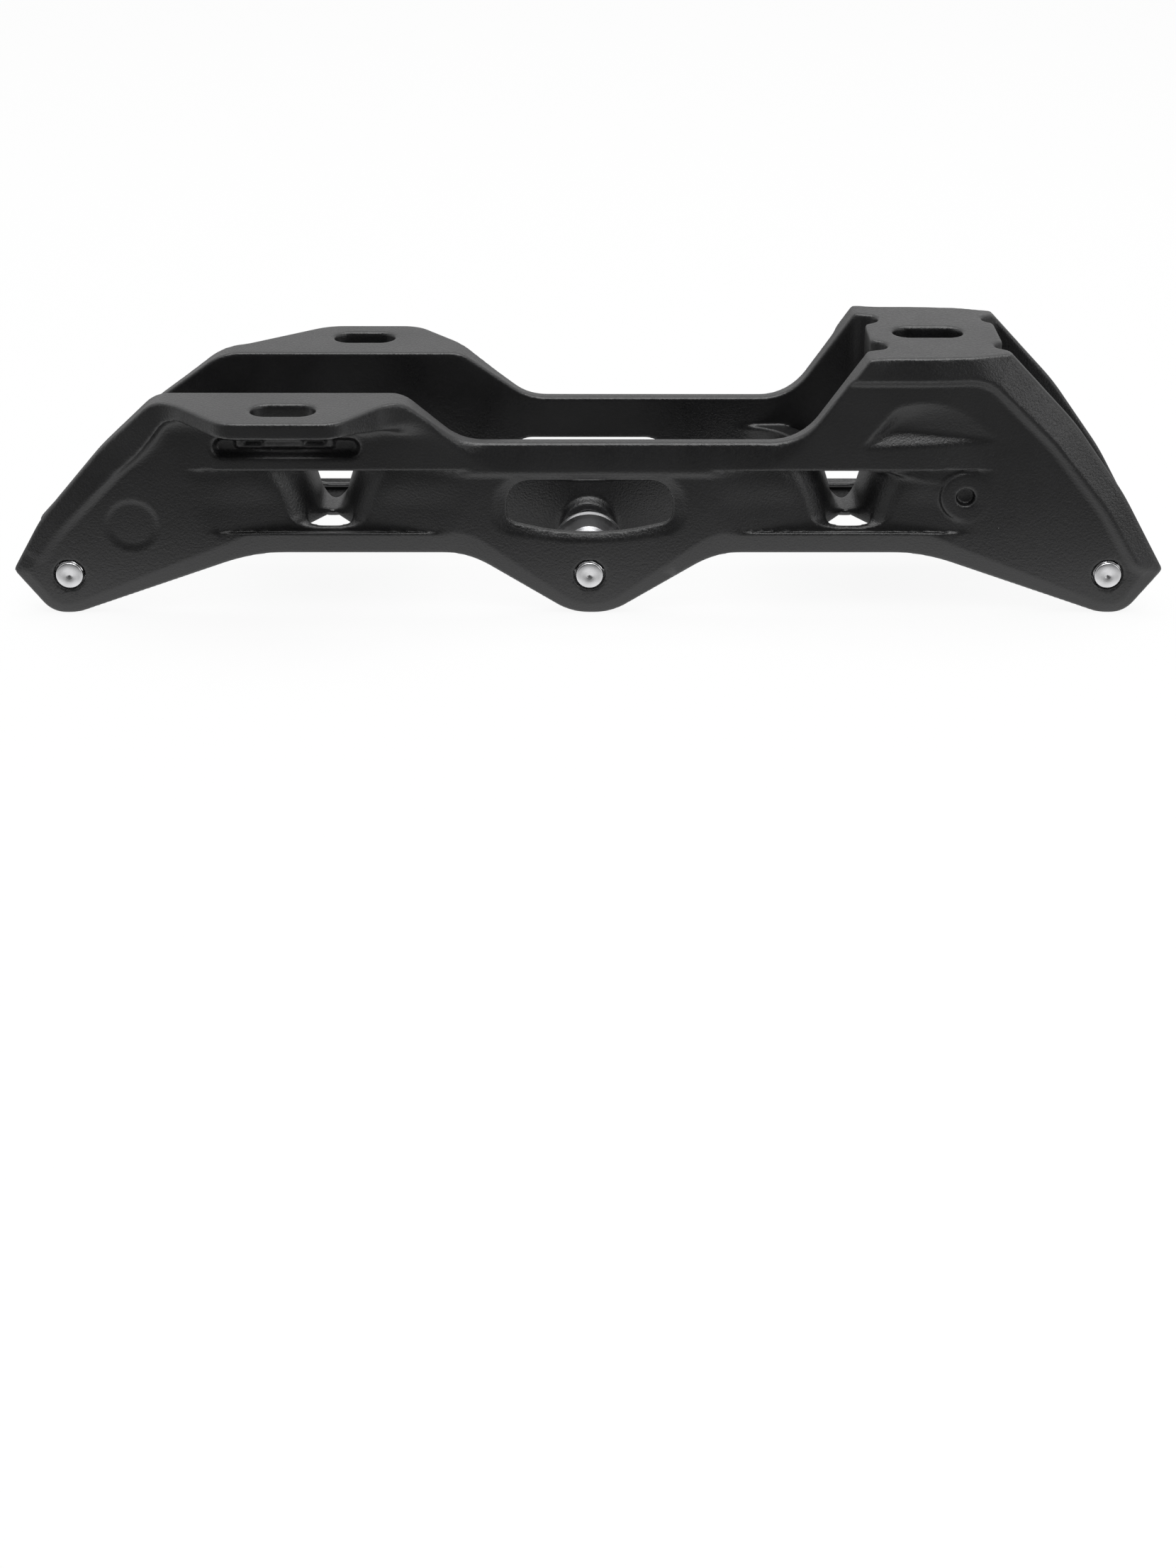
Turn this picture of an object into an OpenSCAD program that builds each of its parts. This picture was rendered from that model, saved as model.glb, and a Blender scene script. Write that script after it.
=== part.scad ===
// Inline skate frame for three wheels with a three-point boot mount: a one-piece casting, drawn as sections that
// meet face to face, with three axles and a flanged bearing spacer on each axle.
// Toe towards -X, medial wall towards -Y, up is +Z. The origin is under the middle axle, level with the lowest point.

/* [Wheels] */
// Distance between neighbouring axles
axle_spacing = 127.5; // [122:0.5:136]
// Height of the axles above the lowest point of the frame
axle_height = 10.6; // [9:0.1:13]
// Largest wheel that the wells clear
wheel_diameter = 110; // [100:1:111]
// Room around the wheel in its well
wheel_room = 2.7; // [1.5:0.1:3.2]

/* [Walls] */
// Distance between the inner faces of the walls
wall_gap = 29.6; // [27:0.1:33]
// Thickness of a wall, with its raised panel
wall_thickness = 4.2; // [3.4:0.1:5]
// Depth of the slanted band around each panel
bevel_depth = 0.9; // [0.4:0.1:1.4]
// How far each end runs past its axle
end_overhang = 13.8; // [12:0.1:18]
// Height of the lower edge between the axles
belly_height = 15.8; // [15:0.1:18]
// Height of the top edge at the middle
waist_height = 44.6; // [42:0.1:47]
// Height of the line under the upper rail
rail_height = 38.1; // [36:0.1:40]
// Height of the sill under the side hollows
sill_height = 21.9; // [20:0.1:24]

/* [Toe tabs] */
// Height of the toe tabs' seats
toe_height = 56.7; // [53:0.1:60]
// Distance from the middle of the frame to the outer edge of a tab
tab_reach = 37.9; // [36:0.1:41]
// Thickness of a tab
tab_thickness = 4; // [3:0.1:5]
// Centre of the medial toe slot, along the frame
toe_slot_x = -72.7; // [-76:0.1:-69]
// How far the lateral tab sits behind the medial one
tab_stagger = 15.5; // [8:0.1:18]
// Distance from the middle of the frame to a toe slot
toe_slot_y = 27.9; // [27:0.1:29]
// Length of a toe slot
toe_slot_length = 15.3; // [12:0.1:18]
// Width of a toe slot
toe_slot_width = 7.9; // [6:0.1:8.4]

/* [Cross braces] */
// Height of the top of a brace's floor
floor_height = 23; // [22:0.1:25]
// Thickness of the floor
floor_thickness = 2.6; // [2:0.1:4]
// Distance from the middle of a brace to the narrow end of a floor hole
hub_reach = 3.4; // [2.6:0.1:5]
// Width of a floor hole along its wall
floor_hole_width = 13.2; // [8:0.1:15]
// Radius of a floor hole's corners
floor_hole_corner = 1.2; // [0.6:0.1:1.6]
// Distance from a floor hole to its wall
floor_hole_margin = 1.2; // [0.5:0.1:3]
// Distance from the middle of a brace to the end of its floor
floor_reach = 29; // [26:0.5:30]

/* [Heel deck] */
// Height of the heel deck's seat
heel_height = 67.3; // [65:0.1:72]
// Centre of the heel slot, along the frame
heel_slot_x = 82.8; // [80:0.1:86]
// Length of the heel slot
heel_slot_length = 17.1; // [13:0.1:18]
// Width of the heel slot
heel_slot_width = 8; // [6:0.1:9]
// How far the deck's edges flare past the walls
deck_flare = 1.2; // [0.6:0.1:3]
// Radius of the notches in the deck's front edge
front_notch = 3.6; // [2:0.1:4]
// Radius of the notches in the deck's rear edge
rear_notch = 2.4; // [1.5:0.1:4]
// Distance from a notch's centre to the wall
notch_inset = 4.2; // [3:0.1:6]
// Height of the flare
flare_height = 4.9; // [3:0.1:6]

/* [Middle window] */
// Length of the window
window_length = 40; // [34:0.5:42]
// Height of the window's lower edge at its middle
window_low = 21.3; // [20.8:0.1:23]
// Height of the window's top edge
window_high = 35; // [33:0.1:35.4]
// Depth of the slanted rim around the window
rim_depth = 1; // [0.3:0.1:1.2]

/* [Axles] */
// Diameter of the shaft
shaft_diameter = 8; // [7.5:0.1:8.4]
// Diameter of the threaded end
thread_diameter = 7; // [6:0.1:7.2]
// Diameter of the head
head_diameter = 11.4; // [10:0.1:12]
// Thickness of the head
head_thickness = 3.2; // [2.4:0.1:3.6]
// Width across the flats of the key socket
socket_width = 5; // [4:0.1:6]
// Radial room of the axle in its bores, and of the spacer on the axle
running_room = 0.05; // [0.02:0.01:0.1]
// How far a tip stands out of the medial wall
tip_proud = 0.4; // [0:0.1:1]

/* [Bosses] */
// Gap between facing bosses, which takes the bearings and the spacer
boss_gap = 25; // [24:0.1:26]
// Diameter of a boss at its face
boss_diameter = 12.6; // [11:0.1:14]

/* [Bearing spacers] */
// Length of the sleeve
spacer_length = 10.3; // [9:0.1:11]
// Diameter of the sleeve
spacer_diameter = 11.1; // [10:0.1:12]
// Diameter of the flange
flange_diameter = 17.9; // [15:0.1:20]
// Thickness of the flange
flange_thickness = 1.95; // [1:0.05:3]

/* [Hidden] */
$fn = 64;
half_gap = wall_gap / 2;
half_width = half_gap + wall_thickness;
band_face = half_width - bevel_depth;
well_radius = wheel_diameter / 2 + wheel_room;
rim_centre = well_radius - half_gap;
brace_x = axle_spacing / 2;
brace_top = rail_height - 0.5;
tip_x = axle_spacing + end_overhang;
tip_z = axle_height + 0.8;
deck_front = heel_slot_x - heel_slot_length / 2 - 5.2;
deck_rear = heel_slot_x + heel_slot_length / 2 + 7.2;
heel_run = tip_x - deck_rear - 2.2;
heel_rise = heel_height - tip_z;
toe_rise = toe_height - tip_z;
well_spread = 0.4;
arc_steps = 4;

// Vector of length one.
function unit(v) = v / norm(v);
function cross2(a, b) = a[0] * b[1] - a[1] * b[0];
function xy(p) = [p[0], p[1]];
function before(list, i) = list[(i + len(list) - 1) % len(list)];
function after(list, i) = list[(i + 1) % len(list)];

// The arc that rounds corner q between neighbours p and s.
function corner_arc(p, q, s, r) =
  let (
    a = unit(p - q),
    b = unit(s - q),
    half = acos(a * b) / 2,
    c = q + unit(a + b) * r / sin(half),
    from = q + a * r / tan(half) - c,
    turn = (180 - 2 * half) * sign(cross2(b, a)),
    start = atan2(from[1], from[0])
  )
  [for (i = [0:arc_steps]) c + r * [cos(start + turn * i / arc_steps), sin(start + turn * i / arc_steps)]];

// An outline of [x, y, radius] corners with every corner rounded.
function rounded(list) = [
  for (i = [0:len(list) - 1])
    each corner_arc(xy(before(list, i)), xy(list[i]), xy(after(list, i)), list[i][2])
];

// The outline with each side moved in by a width at its start and one at its end. Side i starts at corner i.
function inset(list, widths) = [
  for (i = [0:len(list) - 1])
    let (
      u = unit(xy(list[i]) - xy(before(list, i))),
      v = unit(xy(after(list, i)) - xy(list[i])),
      q = xy(list[i]) + (before(widths, i)[1] * v - widths[i][0] * u) / cross2(u, v)
    )
    [q[0], q[1], list[i][3]]
];

// The outline with every side moved in by the same width.
function inset_by(list, width) = inset(
  [for (p = list) [p[0], p[1], p[2], max(p[2] - width, 0.6)]],
  [for (p = list) [width, width]]
);

// Wall outline as [x, z, radius, radius of the panel corner], with the toe tab moved back by shift.
function wall_corners(shift) =
  let (lag = shift / tab_stagger)
  [
    [-tip_x, tip_z, 1.5, 1],
    [-axle_spacing - 5, 0, 7, 4],
    [-axle_spacing + 1.3, 0, 12, 8],
    [-axle_spacing + 45.2, belly_height, 46, 20],
    [-29.8, belly_height, 22, 14],
    [-4.4, 0, 15, 11],
    [5.4, 0, 15, 11],
    [31, belly_height, 22, 14],
    [axle_spacing - 45.6, belly_height, 46, 20],
    [axle_spacing - 1.4, 0, 12, 8],
    [axle_spacing + 5, 0, 7, 4],
    [tip_x, tip_z, 1.5, 1],
    [tip_x - 0.2663 * heel_run, tip_z + 0.3506 * heel_rise, 60, 50],
    [tip_x - 0.5869 * heel_run, tip_z + 0.678 * heel_rise, 60, 50],
    [deck_rear + 2.2, heel_height, 1.5, 5],
    [deck_front - 2.6, heel_height, 1.5, 1.5],
    [deck_front - 18.2, waist_height, 14, 18],
    [toe_slot_x + shift + 41.6 + 0.4 * lag, waist_height, 14, 14],
    [toe_slot_x + shift + 27.7 - 2.7 * lag, toe_height, 8, 5],
    [toe_slot_x + shift - 31.8 - 3.3 * lag, toe_height, 8 + 6 * lag, 5],
    [-tip_x + 23 + shift / 2, tip_z + 0.7064 * toe_rise, 60, 50],
    [-tip_x + 7.3 + 0.3 * shift, tip_z + 0.2914 * toe_rise, 40, 36]
  ];

// Width of the band at the start and the end of each side of the wall outline.
lobe_band = 2.9;
belly_band = sill_height - belly_height;
slope_band = belly_band - 0.6;
rail_band = waist_height - rail_height;
panel_widths = [
  [3.1, lobe_band],
  [lobe_band, lobe_band],
  [lobe_band, slope_band],
  [belly_band, belly_band],
  [slope_band, lobe_band],
  [lobe_band, lobe_band],
  [lobe_band, slope_band],
  [belly_band, belly_band],
  [slope_band, lobe_band],
  [lobe_band, lobe_band],
  [lobe_band, 4],
  [4.2, 4.4],
  [4.4, 5.2],
  [5.2, 6.2],
  [flare_height, flare_height],
  [1.2, 1.2],
  [rail_band, rail_band],
  [1.2, 1.2],
  [7.6, 7.6],
  [7.2, 5.9],
  [5.9, 4.3],
  [4.3, 3.3]
];

// Plan of the toe tab about its slot, as [x, distance from the middle, radius]. Lag is 1 on the lateral side.
function tab_corners(lag) = [
  [-42, half_gap + 1, 0.5],
  [-42, half_width - 1.2, 0.5],
  [-36 - lag, half_width - 0.4, 10],
  [-27 - 4 * lag, half_width + 4.2 - 1.2 * lag, 16],
  [-14 + 4 * lag, tab_reach, 6 + 6 * lag],
  [13.3, tab_reach, 5 + 3 * lag],
  [23.5 + 1.5 * lag, half_width + 5.6 - 1.2 * lag, 12],
  [38, half_width - 1.2, 0.5],
  [38, half_gap + 1, 0.5]
];

window_corners = [
  [-window_length / 2, window_low + 3.2, 3],
  [-window_length / 4, window_low + 0.9, 40],
  [0, window_low, 60],
  [window_length / 4, window_low + 0.9, 40],
  [window_length / 2, window_low + 3.2, 3],
  [window_length / 2, window_high, 5.5],
  [-window_length / 2, window_high, 5.5]
];

rim_corners = [
  [-window_length / 2 - 3.6, window_low + 0.8, 6],
  [0, window_low - 2.4, 80],
  [window_length / 2 + 3.6, window_low + 0.8, 6],
  [window_length / 2 + 3.6, window_high + 1.9, 8],
  [-window_length / 2 - 3.6, window_high + 1.9, 8]
];

scoop_corners = [
  [heel_slot_x - 17.5, rail_height + 6.2, 2.5],
  [heel_slot_x + 15, rail_height + 6.2, 3],
  [heel_slot_x + 7.5, rail_height + 16.8, 10],
  [heel_slot_x - 8, rail_height + 18.4, 8]
];

// Solid between two outlines with the same number of points, at two distances from the middle of the frame.
module loft(low, low_at, high, high_at) {
  n = len(low);
  rotate([90, 0, 0])
    polyhedron(
      points = concat(
        [for (p = low) [p[0], p[1], low_at]],
        [for (p = high) [p[0], p[1], high_at]]
      ),
      faces = concat(
        [[for (i = [0:n - 1]) i]],
        [[for (i = [n - 1:-1:0]) n + i]],
        [for (i = [0:n - 1]) [i, n + i, n + (i + 1) % n]],
        [for (i = [0:n - 1]) [i, n + (i + 1) % n, (i + 1) % n]]
      )
    );
}

// Flat outline between two distances from the middle of the frame.
module slab(outline, inner, outer) {
  rotate([90, 0, 0])
    translate([0, 0, inner])
      linear_extrude(outer - inner)
        polygon(outline);
}

module slot(length, width, height) {
  linear_extrude(height)
    union() {
      square([length - width, width], center = true);
      for (side = [-1, 1])
        translate([side * (length - width) / 2, 0])
          circle(d = width);
    }
}

// The space that a turning wheel sweeps, grown by extra.
module wheel_space(x, extra) {
  translate([x, 0, axle_height])
    rotate([90, 0, 0])
      rotate_extrude($fn = 128)
        union() {
          translate([0, -half_gap - extra])
            square([rim_centre, wall_gap + 2 * extra]);
          intersection() {
            translate([rim_centre, 0])
              circle(r = half_gap + extra);
            translate([0, -half_gap - extra])
              square([well_radius + extra, wall_gap + 2 * extra]);
          }
        }
}

// Ring that cuts the slanted band around a panel. It runs a little past both edges of the band.
module band_cut(edge, panel) {
  n = len(edge);
  past = 0.1;
  high = half_width + past * bevel_depth;
  low = band_face - past * bevel_depth;
  inner = [for (i = [0:n - 1]) panel[i] + past * (panel[i] - edge[i])];
  outer = [for (i = [0:n - 1]) edge[i] + past * (edge[i] - panel[i])];
  rotate([90, 0, 0])
    polyhedron(
      points = concat(
        [for (p = inner) [p[0], p[1], high]],
        [for (p = outer) [p[0], p[1], low]],
        [for (p = outer) [p[0], p[1], high]]
      ),
      faces = concat(
        [for (i = [0:n - 1]) [i, n + i, (i + 1) % n]],
        [for (i = [0:n - 1]) [n + i, n + (i + 1) % n, (i + 1) % n]],
        [for (i = [0:n - 1]) [n + i, 2 * n + i, 2 * n + (i + 1) % n, n + (i + 1) % n]],
        [for (i = [0:n - 1]) [2 * n + i, i, (i + 1) % n, 2 * n + (i + 1) % n]]
      )
    );
}

// Plate of one wall on the medial side: flat inside, with a slanted band around the raised panel outside.
module wall_plate(shift) {
  corners = wall_corners(shift);
  edge = rounded(corners);
  difference() {
    slab(edge, half_gap, half_width);
    band_cut(edge, rounded(inset(corners, panel_widths)));
  }
}

// Toe tab on the medial side with the gussets that carry its ends, inside the wall's outline as seen from the side.
module toe_tab(shift) {
  plan = rounded(tab_corners(shift / tab_stagger));
  intersection() {
    translate([toe_slot_x + shift, 0, 0])
      mirror([0, 1, 0]) {
        translate([0, 0, toe_height - tab_thickness])
          linear_extrude(tab_thickness)
            polygon(plan);
        intersection() {
          translate([0, 0, toe_height - 14])
            linear_extrude(12)
              polygon(plan);
          union() {
            gusset(-42, -15);
            gusset(15, 38);
          }
        }
      }
    slab(rounded(wall_corners(shift)), half_gap + 0.5, tab_reach + 1);
  }
}

module gusset(from, to) {
  translate([from, 0, 0])
    rotate([90, 0, 90])
      linear_extrude(to - from)
        polygon([
          [half_gap + 1, toe_height - 14],
          [half_width - 0.5, toe_height - 14],
          [tab_reach, toe_height - tab_thickness],
          [tab_reach, toe_height - 1],
          [half_gap + 1, toe_height - 1]
        ]);
}

// Flare under the near edge of the heel deck.
module deck_flare_edge() {
  translate([deck_front - 2.6, 0, heel_height - flare_height])
    rotate([90, 0, 90])
      linear_extrude(deck_rear - deck_front + 3.4)
        polygon([
          [-band_face, 0],
          [-half_width, 0],
          [-half_width - deck_flare, flare_height - 0.6],
          [-half_width - deck_flare, flare_height],
          [-band_face, flare_height]
        ]);
}

// Section of the casting between the walls at one cross brace: floor and ends of two wheel wells.
module cross_brace(x) {
  difference() {
    translate([x - floor_reach, -half_gap, floor_height - floor_thickness])
      cube([2 * floor_reach, wall_gap, brace_top - floor_height + floor_thickness]);
    wheel_space(x - brace_x, well_spread);
    wheel_space(x + brace_x, well_spread);
    side_hollow(x, floor_height);
    floor_holes(x);
  }
}

// Hollow between two wheel spaces, open to both sides, from a height up to the rail.
module side_hollow(x, from) {
  difference() {
    translate([x - floor_reach - 1, -half_width - 2, from])
      cube([2 * floor_reach + 2, 2 * half_width + 4, rail_height - from]);
    wheel_space(x - brace_x, wall_thickness + well_spread);
    wheel_space(x + brace_x, wall_thickness + well_spread);
  }
}

// Three-cornered holes through the floor of a brace.
module floor_holes(x) {
  wide_end = half_gap - floor_hole_margin;
  for (side = [0, 1])
    translate([x, 0, floor_height - floor_thickness - 1])
      mirror([0, side, 0])
        linear_extrude(floor_thickness + 2)
          polygon(rounded([
            [0, hub_reach, floor_hole_corner],
            [floor_hole_width / 2, wide_end, floor_hole_corner],
            [-floor_hole_width / 2, wide_end, floor_hole_corner]
          ]));
}

// Boss on the inner face of the medial wall at one axle.
module boss(x) {
  translate([x, -boss_gap / 2, axle_height])
    rotate([90, 0, 0])
      cylinder(d1 = boss_diameter, d2 = boss_diameter + 2.4, h = half_gap - boss_gap / 2 + 0.5);
}

// Cuts in one wall, drawn on the medial side, with those under the toe tab moved back by shift.
module wall_cuts(shift) {
  // Hollow under the tab for the bolt's washer.
  translate([toe_slot_x + shift - 0.5, -half_width + 1.5, toe_height - 12.6])
    rotate([90, 0, 0])
      slot(35.7, 4.9, 6);
  // Round recess on the toe.
  translate([-axle_spacing + 16, -half_width + 0.5, axle_height + 13.2])
    rotate([90, 0, 0])
      cylinder(d = 12.4, h = 4);
  side_hollow(-brace_x, sill_height);
  side_hollow(brace_x, sill_height);
  // Slot through the tab.
  translate([toe_slot_x + shift, -toe_slot_y, toe_height - 20])
    slot(toe_slot_length, toe_slot_width, 40);
  // Window over the middle axle.
  slab(rounded(window_corners), half_gap - 1, half_width + 4);
  // Slanted rim around the window.
  loft(
    rounded(inset_by(rim_corners, 3)), half_width - rim_depth,
    rounded(rim_corners), half_width + 0.01
  );
  // Blind hole behind the rear hollow.
  translate([axle_spacing - 36, -half_width + 2.4, axle_height + 20.3])
    rotate([90, 0, 0])
      cylinder(d = 4.4, h = 5);
  // Scoop under the heel deck.
  loft(
    rounded(inset_by(scoop_corners, 2.6)), half_width - 1.6,
    rounded(scoop_corners), half_width + 0.01
  );
}

// One wall on the medial side, before its axle bores.
module side_wall(shift) {
  difference() {
    union() {
      wall_plate(shift);
      toe_tab(shift);
      deck_flare_edge();
      for (i = [-1:1])
        boss(i * axle_spacing);
    }
    wall_cuts(shift);
  }
}

module medial_side_wall() {
  color([0.08, 0.08, 0.085])
    difference() {
      side_wall(0);
      // Threaded bores for the axle tips.
      for (i = [-1:1])
        translate([i * axle_spacing, 0, axle_height])
          rotate([90, 0, 0])
            cylinder(r = thread_diameter / 2 + running_room, h = half_width + 2);
    }
}

module lateral_side_wall() {
  color([0.08, 0.08, 0.085])
    difference() {
      mirror([0, 1, 0])
        side_wall(tab_stagger);
      // Plain bores with a recess for each axle head.
      for (i = [-1:1])
        translate([i * axle_spacing, 0, axle_height])
          rotate([-90, 0, 0]) {
            cylinder(r = shaft_diameter / 2 + running_room, h = half_width + 2);
            translate([0, 0, half_width - head_thickness - 0.1])
              cylinder(d = head_diameter + 0.6, h = head_thickness + 2);
          }
    }
}

module front_cross_brace() {
  color([0.08, 0.08, 0.085])
    cross_brace(-brace_x);
}

module rear_cross_brace() {
  color([0.08, 0.08, 0.085])
    cross_brace(brace_x);
}

// Seat for the heel between the walls, over the front of the rear well.
module heel_deck() {
  color([0.08, 0.08, 0.085])
    difference() {
      translate([deck_front - 1, -half_gap, brace_top])
        cube([deck_rear - deck_front + 2.5, wall_gap, heel_height - brace_top]);
      for (side = [-1, 1]) {
        translate([deck_front - 1, side * (half_gap - notch_inset), brace_top - 1])
          cylinder(r = front_notch, h = heel_height);
        translate([deck_rear + 1.5, side * (half_gap - notch_inset), brace_top - 1])
          cylinder(r = rear_notch, h = heel_height);
      }
      wheel_space(axle_spacing, well_spread);
      translate([heel_slot_x, 0, brace_top - 1])
        slot(heel_slot_length, heel_slot_width, heel_height);
    }
}

module axle(x) {
  color([0.8, 0.8, 0.82])
    translate([x, half_width - 0.1, axle_height])
      rotate([90, 0, 0])
        difference() {
          rotate_extrude()
            polygon(axle_profile());
          translate([0, 0, -1])
            cylinder(d = socket_width / cos(30), h = 3, $fn = 6);
        }
}

// Half section of the axle, as [radius, distance from the head's outer face].
function axle_profile() =
  let (
    shaft = shaft_diameter / 2,
    thread = thread_diameter / 2,
    neck_at = half_width + boss_gap / 2 - 0.3,
    tip_at = 2 * half_width + tip_proud - 0.1
  )
  [
    [0, 0],
    [head_diameter / 2 - 0.6, 0],
    [head_diameter / 2, 0.6],
    [head_diameter / 2, head_thickness],
    [shaft, head_thickness],
    [shaft, neck_at - 1.6],
    [thread - 0.25, neck_at - 0.6],
    [thread - 0.25, neck_at],
    [thread, neck_at + 0.4],
    [thread, tip_at - 0.5],
    [thread - 0.5, tip_at],
    [0.6, tip_at],
    [0, tip_at - 0.4]
  ];

module bearing_spacer(x) {
  bore = shaft_diameter / 2 + running_room;
  color([0.78, 0.78, 0.8])
    translate([x, 0, axle_height])
      rotate([90, 0, 0])
        rotate_extrude()
          polygon([
            [bore, -spacer_length / 2],
            [spacer_diameter / 2 - 0.3, -spacer_length / 2],
            [spacer_diameter / 2, -spacer_length / 2 + 0.3],
            [spacer_diameter / 2, -flange_thickness / 2],
            [flange_diameter / 2 - 0.2, -flange_thickness / 2],
            [flange_diameter / 2, -flange_thickness / 2 + 0.2],
            [flange_diameter / 2, flange_thickness / 2 - 0.2],
            [flange_diameter / 2 - 0.2, flange_thickness / 2],
            [spacer_diameter / 2, flange_thickness / 2],
            [spacer_diameter / 2, spacer_length / 2 - 0.3],
            [spacer_diameter / 2 - 0.3, spacer_length / 2],
            [bore, spacer_length / 2]
          ]);
}

module axle_front() {
  axle(-axle_spacing);
}

module axle_middle() {
  axle(0);
}

module axle_rear() {
  axle(axle_spacing);
}

module bearing_spacer_front() {
  bearing_spacer(-axle_spacing);
}

module bearing_spacer_middle() {
  bearing_spacer(0);
}

module bearing_spacer_rear() {
  bearing_spacer(axle_spacing);
}

medial_side_wall();
lateral_side_wall();
front_cross_brace();
rear_cross_brace();
heel_deck();
axle_front();
axle_middle();
axle_rear();
bearing_spacer_front();
bearing_spacer_middle();
bearing_spacer_rear();
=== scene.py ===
"""Inline skate frame: a black casting, three turned axles and a flanged spacer on each axle."""

import math

import bpy
import numpy as np
import openvdb
from bpy.props import FloatProperty, FloatVectorProperty, PointerProperty
from mathutils import Matrix, Vector


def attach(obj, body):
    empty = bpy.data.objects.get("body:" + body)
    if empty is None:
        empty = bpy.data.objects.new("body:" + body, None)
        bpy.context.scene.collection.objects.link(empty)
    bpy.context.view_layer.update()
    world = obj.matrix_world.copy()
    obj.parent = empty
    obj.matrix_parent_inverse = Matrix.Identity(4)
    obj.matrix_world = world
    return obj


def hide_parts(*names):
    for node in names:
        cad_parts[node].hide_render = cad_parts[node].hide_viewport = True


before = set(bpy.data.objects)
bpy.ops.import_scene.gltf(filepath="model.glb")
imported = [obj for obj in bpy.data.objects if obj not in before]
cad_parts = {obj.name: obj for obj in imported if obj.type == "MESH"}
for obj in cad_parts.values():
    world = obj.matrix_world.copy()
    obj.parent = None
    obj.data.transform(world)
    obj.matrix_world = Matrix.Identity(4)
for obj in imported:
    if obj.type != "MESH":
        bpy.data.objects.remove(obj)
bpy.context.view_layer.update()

bl_info = {
    "name": "Inline Skate Frame",
    "version": (1, 0, 0),
    "blender": (4, 5, 0),
    "location": "View3D > Sidebar > Skate Frame",
    "description": "Builds a cast inline skate frame with its axles, bearing spacers and studio",
    "category": "Object",
}

CASTING_NODES = (
    "medial_side_wall", "lateral_side_wall", "front_cross_brace", "rear_cross_brace", "heel_deck",
)
PLACES = (("front", -1), ("middle", 0), ("rear", 1))
MM = 0.001
ARC_STEPS = 8
LOWER_CORNERS = 12
CASTING_FACES = 95000
TURNED_POINTS = 96
TURN = np.linspace(0, 2 * math.pi, TURNED_POINTS, endpoint=False)
SHARP_ANGLE = math.radians(32)
FLOOR_HALF = 4.0
COAT_RELIEF, TOOL_RELIEF = 0.08 * MM, 0.012 * MM
# Radii and depths of the holes in a wall, in millimetres.
CLEAR_BORE, THREAD_BORE = 4.3, 3.75
RECESS_RADIUS, RECESS_DEPTH = 6.1, 3.5
SIDE_HOLE_RADIUS, SIDE_HOLE_DEPTH, SIDE_PAD_RADIUS = 2.2, 2.4, 6.2
# Name, place, target, size and power of each soft box.
LIGHTS = (
    ("top_light", (0.0, -0.05, 1.3), (0, 0, 0), 1.3, 16),
    ("front_fill", (0.1, -0.7, 1.1), (0, 0, 0.03), 0.5, 2.0),
    ("side_light", (1.2, -0.9, 0.4), (0, 0, 0.03), 0.6, 2.4),
)
# Pixels of the picture: its height, the focal length and the row that the camera looks at.
PICTURE_HEIGHT, FOCAL_LENGTH, VIEW_ROW = 2212, 3720, 650
# Yaw, pitch and roll in degrees, and the place in metres.
CAMERA_ANGLES = (0.577, 20.68, 0.228)
CAMERA_PLACE = (-0.00649, -0.61497, 0.2656)


def length(label, description, millimetres):
    """A size that is shown in the scene's length unit and kept in metres."""
    return FloatProperty(
        name=label, description=description, default=millimetres * MM, unit="LENGTH", precision=5
    )


def share(label, description, value):
    """A number from 0 to 1."""
    return FloatProperty(
        name=label, description=description, default=value, min=0.0, max=1.0, subtype="FACTOR"
    )


def colour(label, description, value):
    """A colour in linear light."""
    return FloatVectorProperty(
        name=label, description=description, default=value,
        min=0.0, max=1.0, size=3, subtype="COLOR",
    )


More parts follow.
